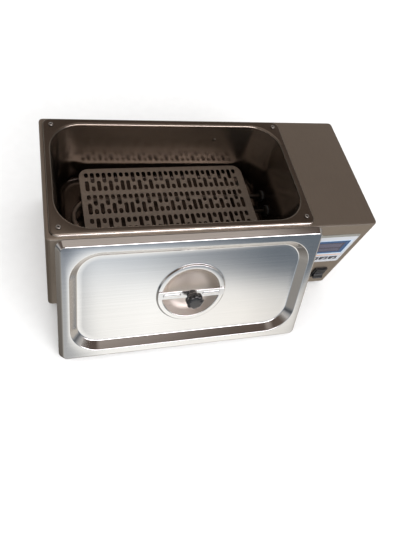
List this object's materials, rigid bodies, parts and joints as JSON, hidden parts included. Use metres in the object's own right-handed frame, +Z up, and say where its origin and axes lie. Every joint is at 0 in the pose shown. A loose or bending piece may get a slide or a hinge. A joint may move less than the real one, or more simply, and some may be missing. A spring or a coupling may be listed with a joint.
{
  "type": "laboratory water bath",
  "caption": "Small laboratory water bath with a pressed pan, a perforated rack over a tubular heater, a control panel at one end, and its lid leaning on the front.",
  "frame": {"origin": "on the bench, under the middle of the whole bath with its leaning lid", "axes": "+X towards the control end, +Y towards the back, +Z up; controls face -Y"},
  "size_m": [0.42, 0.265, 0.172],
  "materials": {
    "case_steel": "fine brushed sheet",
    "base_steel": "plain sheet",
    "screw_steel": "turned",
    "foot_rubber": "moulded",
    "pan_steel": "drawn and polished",
    "seal_rubber": "soft",
    "rack_steel": "matt",
    "heater_steel": "drawn tube",
    "terminal_brass": "bright",
    "fitting_steel": "turned",
    "cutout_ceramic": "matt",
    "rivet_steel": "bright",
    "insulation": "fibre blanket",
    "label_film": "printed film",
    "display_glass": "tinted window",
    "module_plastic": "moulded",
    "board_green": "laminate",
    "key_plastic": "printed keys",
    "switch_plastic": "moulded",
    "rocker_plastic": "moulded",
    "inlet_plastic": "moulded",
    "transformer_iron": "laminated core",
    "relay_plastic": "moulded cover",
    "lid_steel": "pressed sheet",
    "strap_steel": "bright strip",
    "knob_plastic": "moulded"
  },
  "bodies": {
    "bath": {"case_shell": "case_steel", "base_plate": "base_steel", "base_screws": "screw_steel", "rubber_feet": "foot_rubber", "bath_pan": "pan_steel", "flange_seal": "seal_rubber", "flange_screws": "screw_steel", "rack_plate": "rack_steel", "rack_legs": "rack_steel", "heater_tube": "heater_steel", "heater_terminals": "terminal_brass", "temperature_probe": "heater_steel", "wall_fittings": "fitting_steel", "fitting_seals": "seal_rubber", "fitting_nuts": "fitting_steel", "thermal_cutout": "cutout_ceramic", "cutout_rivet": "rivet_steel", "tank_insulation": "insulation", "divider_plate": "base_steel", "control_label": "label_film", "display_window": "display_glass", "display_module": "module_plastic", "display_board": "board_green", "board_posts": "base_steel", "key_switches": "module_plastic", "switch_housing": "switch_plastic", "switch_tabs": "terminal_brass", "inlet_socket": "inlet_plastic", "inlet_pins": "terminal_brass", "inlet_screws": "screw_steel", "power_board": "board_green", "power_posts": "base_steel", "transformer": "transformer_iron", "relay": "relay_plastic", "terminal_block": "module_plastic", "lid_shell": "lid_steel", "lid_strap": "strap_steel", "lid_knob": "knob_plastic", "knob_screw": "screw_steel"},
    "key_1_cap": {"key_1": "key_plastic"},
    "key_2_cap": {"key_2": "key_plastic"},
    "key_3_cap": {"key_3": "key_plastic"},
    "key_4_cap": {"key_4": "key_plastic"},
    "rocker": {"switch_rocker": "rocker_plastic"}
  },
  "joints": [
    {"name": "key_1_press", "type": "slide", "parent": "bath", "child": "key_1_cap", "axis": [0, 1, 0], "range_m": [0, 0.0008], "stiffness_N_per_m": 1200, "springref_m": -0.0003},
    {"name": "key_2_press", "type": "slide", "parent": "bath", "child": "key_2_cap", "axis": [0, 1, 0], "range_m": [0, 0.0008], "stiffness_N_per_m": 1200, "springref_m": -0.0003},
    {"name": "key_3_press", "type": "slide", "parent": "bath", "child": "key_3_cap", "axis": [0, 1, 0], "range_m": [0, 0.0008], "stiffness_N_per_m": 1200, "springref_m": -0.0003},
    {"name": "key_4_press", "type": "slide", "parent": "bath", "child": "key_4_cap", "axis": [0, 1, 0], "range_m": [0, 0.0008], "stiffness_N_per_m": 1200, "springref_m": -0.0003},
    {"name": "power_rocker", "type": "hinge", "parent": "bath", "child": "rocker", "pos_m": [0.1835, -0.05347, 0.039], "axis": [1, 0, 0], "range_deg": [0, 24]}
  ]
}
